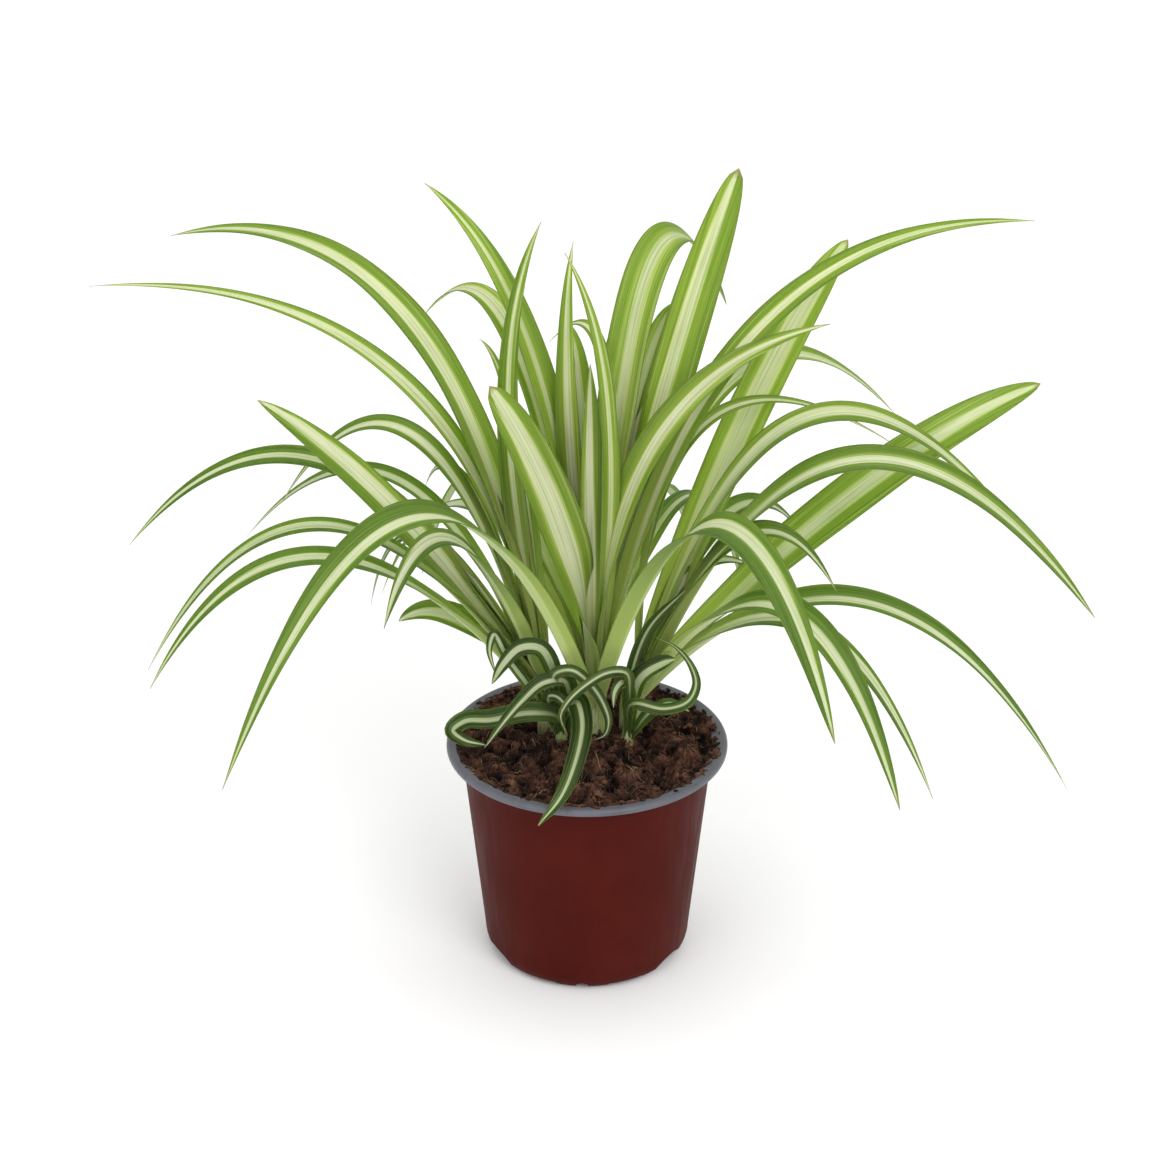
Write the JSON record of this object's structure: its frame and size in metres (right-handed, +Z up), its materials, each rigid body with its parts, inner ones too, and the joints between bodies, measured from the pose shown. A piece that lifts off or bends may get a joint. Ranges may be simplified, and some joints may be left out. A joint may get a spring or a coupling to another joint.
{
  "type": "potted spider plant",
  "caption": "Bushy spider plant with arching cream-striped leaves and curled young leaves, rooted in peat in a thin round nursery pot with drainage arches.",
  "frame": {"origin": "middle of the underside of the pot, at the height of the foot ring", "axes": "+Z up along the pot's axis, -Y towards the front where a curled leaf hangs over the rim, +X to the plant's right in the front view"},
  "size_m": [0.4226, 0.2606, 0.3362],
  "materials": {
    "pot": "satin",
    "soil": "matte",
    "leaf": "satin",
    "curly_leaf": "satin"
  },
  "bodies": {
    "root": {"pot": "pot", "soil": "soil", "rosette_front": "leaf", "rosette_left": "leaf", "rosette_right": "leaf", "rosette_back": "leaf", "rosette_curly_left": "curly_leaf", "rosette_curly_right": "curly_leaf"}
  },
  "joints": []
}
